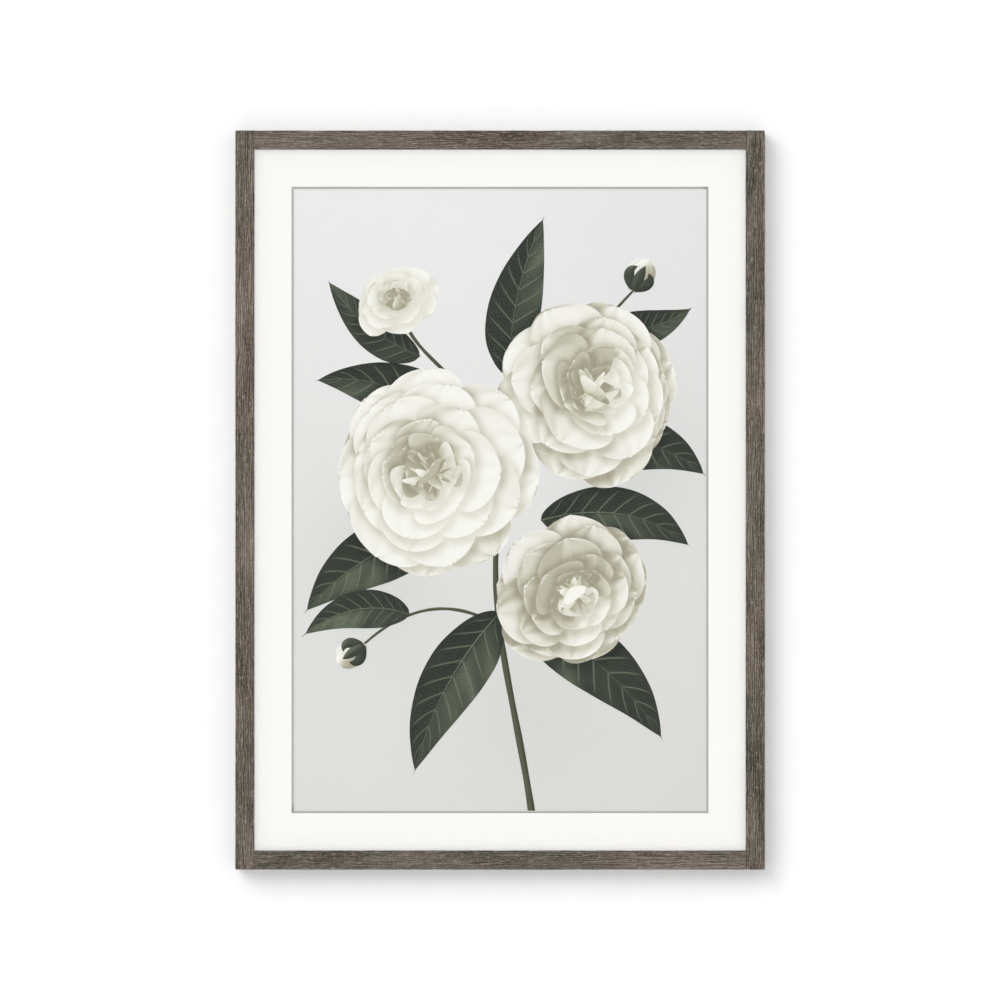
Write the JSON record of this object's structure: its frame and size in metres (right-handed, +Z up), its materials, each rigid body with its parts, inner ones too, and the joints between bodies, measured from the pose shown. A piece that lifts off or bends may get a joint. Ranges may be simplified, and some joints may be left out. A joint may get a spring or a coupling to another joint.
{
  "type": "framed print",
  "caption": "Portrait wall print behind glass, with a bevel-cut mat, a flat wooden frame, a backing held by turn buttons, and a sawtooth hanger.",
  "frame": {"origin": "on the wall's face, where the nail goes in that carries the middle notch of the sawtooth hanger, 9 mm below the frame's top edge and on its vertical centre line", "axes": "+X to the right as seen from the front, +Y into the wall, +Z up; the print faces -Y"},
  "size_m": [0.515, 0.0232, 0.719],
  "materials": {
    "frame_wood": "matte",
    "dowel_wood": "matte",
    "glass": "polished",
    "mat_paper": "matte",
    "print_paper": "matte",
    "foam_core": "matte",
    "corrugated_card": "matte",
    "hardboard": "matte",
    "zinc_plate": "satin",
    "brass_plate": "satin",
    "felt": "matte"
  },
  "bodies": {
    "framed_print": {"stile_left": "frame_wood", "stile_right": "frame_wood", "rail_top": "frame_wood", "rail_bottom": "frame_wood", "dowel_top_left_front": "dowel_wood", "dowel_top_left_back": "dowel_wood", "dowel_top_right_front": "dowel_wood", "dowel_top_right_back": "dowel_wood", "dowel_bottom_left_front": "dowel_wood", "dowel_bottom_left_back": "dowel_wood", "dowel_bottom_right_front": "dowel_wood", "dowel_bottom_right_back": "dowel_wood", "glass": "glass", "mat_board": "mat_paper", "print": "print_paper", "foam_board": "foam_core", "filler_card": "corrugated_card", "back_panel": "hardboard", "screw_left_upper": "zinc_plate", "screw_left_lower": "zinc_plate", "screw_right_upper": "zinc_plate", "screw_right_lower": "zinc_plate", "screw_top_left": "zinc_plate", "screw_top_right": "zinc_plate", "screw_bottom_left": "zinc_plate", "screw_bottom_right": "zinc_plate", "hanger": "brass_plate", "nail_left": "brass_plate", "nail_right": "brass_plate", "pad_top_left": "felt", "pad_top_right": "felt", "pad_bottom_left": "felt", "pad_bottom_right": "felt"},
    "turn_left_upper": {"button_left_upper": "zinc_plate"},
    "turn_left_lower": {"button_left_lower": "zinc_plate"},
    "turn_right_upper": {"button_right_upper": "zinc_plate"},
    "turn_right_lower": {"button_right_lower": "zinc_plate"},
    "turn_top_left": {"button_top_left": "zinc_plate"},
    "turn_top_right": {"button_top_right": "zinc_plate"},
    "turn_bottom_left": {"button_bottom_left": "zinc_plate"},
    "turn_bottom_right": {"button_bottom_right": "zinc_plate"}
  },
  "joints": [
    {"name": "swivel_left_upper", "type": "hinge", "parent": "framed_print", "child": "turn_left_upper", "pos_m": [-0.2515, -0.0028, -0.1805], "axis": [0, 1, 0], "continuous": true},
    {"name": "swivel_left_lower", "type": "hinge", "parent": "framed_print", "child": "turn_left_lower", "pos_m": [-0.2515, -0.0028, -0.5205], "axis": [0, 1, 0], "continuous": true},
    {"name": "swivel_right_upper", "type": "hinge", "parent": "framed_print", "child": "turn_right_upper", "pos_m": [0.2515, -0.0028, -0.1805], "axis": [0, 1, 0], "continuous": true},
    {"name": "swivel_right_lower", "type": "hinge", "parent": "framed_print", "child": "turn_right_lower", "pos_m": [0.2515, -0.0028, -0.5205], "axis": [0, 1, 0], "continuous": true},
    {"name": "swivel_top_left", "type": "hinge", "parent": "framed_print", "child": "turn_top_left", "pos_m": [-0.12, -0.0028, 0.003], "axis": [0, 1, 0], "continuous": true},
    {"name": "swivel_top_right", "type": "hinge", "parent": "framed_print", "child": "turn_top_right", "pos_m": [0.12, -0.0028, 0.003], "axis": [0, 1, 0], "continuous": true},
    {"name": "swivel_bottom_left", "type": "hinge", "parent": "framed_print", "child": "turn_bottom_left", "pos_m": [-0.12, -0.0028, -0.704], "axis": [0, 1, 0], "continuous": true},
    {"name": "swivel_bottom_right", "type": "hinge", "parent": "framed_print", "child": "turn_bottom_right", "pos_m": [0.12, -0.0028, -0.704], "axis": [0, 1, 0], "continuous": true}
  ]
}
